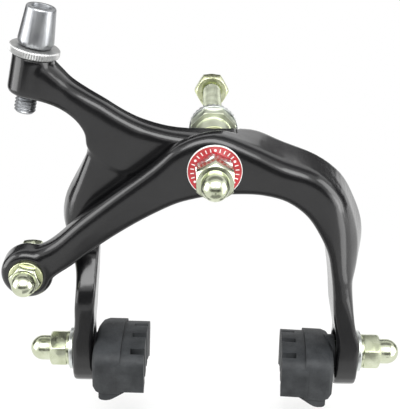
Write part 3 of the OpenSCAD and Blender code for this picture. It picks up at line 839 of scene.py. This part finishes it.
def camera_matrix():
    elevation, azimuth, roll = (
        math.radians(angle) for angle in (CAMERA_ELEVATION, CAMERA_AZIMUTH, CAMERA_ROLL))
    look = Vector((math.sin(azimuth) * math.cos(elevation),
                   math.cos(azimuth) * math.cos(elevation), -math.sin(elevation)))
    right = Vector((math.cos(azimuth), -math.sin(azimuth), 0.0))
    up = right.cross(look)
    rolled_right = math.cos(roll) * right + math.sin(roll) * up
    rolled_up = math.cos(roll) * up - math.sin(roll) * right
    turn = Matrix((rolled_right, rolled_up, -look)).transposed().to_4x4()
    return Matrix.Translation(Vector(CAMERA_PLACE) * MM) @ turn


def facing(place_mm, aim_mm, front):
    """The matrix that stands something at a place with its front turned to what it aims at."""
    towards = Vector(aim_mm) - Vector(place_mm)
    turn = towards.to_track_quat(front, "Y").to_matrix().to_4x4()
    return Matrix.Translation(Vector(place_mm) * MM) @ turn


def softbox(name, place_mm, aim_mm, size_mm, power):
    light = bpy.data.lights.new(name, "AREA")
    light.shape = "RECTANGLE"
    light.size, light.size_y = (side * MM for side in size_mm)
    light.energy = power
    lamp = bpy.data.objects.new(name, light)
    bpy.context.scene.collection.objects.link(lamp)
    lamp.visible_camera = False
    lamp.visible_glossy = name not in UNREFLECTED
    lamp.matrix_world = facing(place_mm, aim_mm, "-Z")


def dark_flag(name, place_mm, aim_mm, size_mm, tone):
    """A studio flag: a dim card that only reflections see."""
    bpy.ops.object.select_all(action="DESELECT")
    bpy.ops.mesh.primitive_plane_add(size=1.0)
    card = bpy.context.object
    card.name = name
    size = Matrix.Diagonal((size_mm[0] * MM, size_mm[1] * MM, 1.0, 1.0))
    card.data.transform(facing(place_mm, aim_mm, "Z") @ size)
    material = bpy.data.materials.new(name)
    material.use_nodes = True
    tree = material.node_tree
    tree.nodes.clear()
    glow = add(tree, "ShaderNodeEmission", {"Color": grey(1.0), "Strength": tone})
    add(tree, "ShaderNodeOutputMaterial", links={"Surface": glow.outputs["Emission"]})
    card.data.materials.append(material)
    card.visible_camera = False
    card.visible_diffuse = False
    card.visible_shadow = False
    card.visible_transmission = False


def seen_white(tree, shader_output, white_output):
    """White for camera, glossy and transmission rays; the given shader lights the rest."""
    path = add(tree, "ShaderNodeLightPath")
    seen = path.outputs["Is Camera Ray"]
    for other in ("Is Glossy Ray", "Is Transmission Ray"):
        either = add(tree, "ShaderNodeMath", {"operation": "MAXIMUM"},
                     {0: seen, 1: path.outputs[other]})
        seen = either.outputs["Value"]
    mix = add(tree, "ShaderNodeMixShader",
              links={"Fac": seen, 1: shader_output, 2: white_output})
    return mix.outputs["Shader"]


class BRAKE_OT_stage(bpy.types.Operator):
    """Makes the floor, the lamps, the world and the camera"""
    bl_idname = "brake.stage"
    bl_label = "Stage"

    def execute(self, context):
        settings = context.scene.brake_stage
        self.lay_floor(settings)
        for name, place, aim, size, power in SOFTBOXES:
            softbox(name, place, aim, size, getattr(settings, power))
        for name, place, aim, size, tone in FLAGS:
            dark_flag(name, place, aim, size, tone)
        self.light_world(context.scene, settings)
        self.set_camera(context.scene)
        context.scene.view_settings.view_transform = "Standard"
        return {"FINISHED"}

    def lay_floor(self, settings):
        """A matt floor that the camera sees as pure white, but for the shade near the brake."""
        bpy.ops.object.select_all(action="DESELECT")
        bpy.ops.mesh.primitive_plane_add(size=FLOOR_SIZE * MM,
                                         location=(0, FLOOR_BACK * MM, FLOOR_Z * MM))
        floor = bpy.context.object
        floor.name = "studio_floor"
        floor.data.transform(floor.matrix_world)
        floor.matrix_world = Matrix.Identity(4)
        material = bpy.data.materials.new("studio_floor")
        material.use_nodes = True
        tree = material.node_tree
        tree.nodes.clear()
        matt = add(tree, "ShaderNodeBsdfPrincipled", {"Base Color": settings.floor,
                                                      "Roughness": 0.9})
        white = add(tree, "ShaderNodeEmission", {"Color": grey(1.0), "Strength": 1.0})
        openness = add(tree, "ShaderNodeAmbientOcclusion", {"Distance": SHADOW_REACH * MM})
        shaded = add(tree, "ShaderNodeMixShader",
                     links={"Fac": openness.outputs["AO"], 1: matt.outputs["BSDF"],
                            2: white.outputs["Emission"]})
        seen = seen_white(tree, matt.outputs["BSDF"], shaded.outputs["Shader"])
        add(tree, "ShaderNodeOutputMaterial", links={"Surface": seen})
        floor.data.materials.append(material)

    def light_world(self, scene, settings):
        world = bpy.data.worlds.new("studio_world")
        scene.world = world
        world.use_nodes = True
        tree = world.node_tree
        tree.nodes.clear()
        ambient = add(tree, "ShaderNodeBackground",
                      {"Color": grey(1.0), "Strength": settings.world_strength})
        white = add(tree, "ShaderNodeBackground", {"Color": grey(1.0), "Strength": 1.0})
        seen = seen_white(tree, ambient.outputs["Background"], white.outputs["Background"])
        add(tree, "ShaderNodeOutputWorld", links={"Surface": seen})

    def set_camera(self, scene):
        camera = bpy.data.cameras.new("photo_camera")
        camera.sensor_width = SENSOR
        camera.lens = FOCAL_PX * SENSOR / LONG_SIDE_PX
        camera.clip_start, camera.clip_end = (distance * MM for distance in CAMERA_CLIP)
        eye = bpy.data.objects.new("photo_camera", camera)
        scene.collection.objects.link(eye)
        eye.matrix_world = camera_matrix()
        scene.camera = eye


class BRAKE_PT_panel(bpy.types.Panel):
    """Lists the brake's settings and pieces"""
    bl_idname = "BRAKE_PT_panel"
    bl_label = "Caliper brake"
    bl_space_type = "VIEW_3D"
    bl_region_type = "UI"
    bl_category = "Brake"

    def draw(self, context):
        for group in (context.scene.brake_looks, context.scene.brake_stage):
            for name in group.bl_rna.properties.keys():
                if name not in ("rna_type", "name"):
                    self.layout.prop(group, name)
        for operator in OPERATORS:
            self.layout.operator(operator.bl_idname)


OPERATORS = (BRAKE_OT_arms, BRAKE_OT_pivot_bolt, BRAKE_OT_washers, BRAKE_OT_spring,
             BRAKE_OT_badge, BRAKE_OT_nuts, BRAKE_OT_adjuster, BRAKE_OT_shoes, BRAKE_OT_stage)
CLASSES = (BrakeLooks, StageSettings) + OPERATORS + (BRAKE_PT_panel,)


def register():
    for cls in CLASSES:
        bpy.utils.register_class(cls)
    bpy.types.Scene.brake_looks = bpy.props.PointerProperty(type=BrakeLooks)
    bpy.types.Scene.brake_stage = bpy.props.PointerProperty(type=StageSettings)


def unregister():
    del bpy.types.Scene.brake_looks
    del bpy.types.Scene.brake_stage
    for cls in reversed(CLASSES):
        bpy.utils.unregister_class(cls)


def main():
    register()
    bpy.ops.brake.arms()
    bpy.ops.brake.pivot_bolt()
    bpy.ops.brake.washers()
    bpy.ops.brake.spring()
    bpy.ops.brake.badge()
    bpy.ops.brake.nuts()
    bpy.ops.brake.adjuster()
    bpy.ops.brake.shoes()
    bpy.ops.brake.stage()


if __name__ == "__main__":
    main()
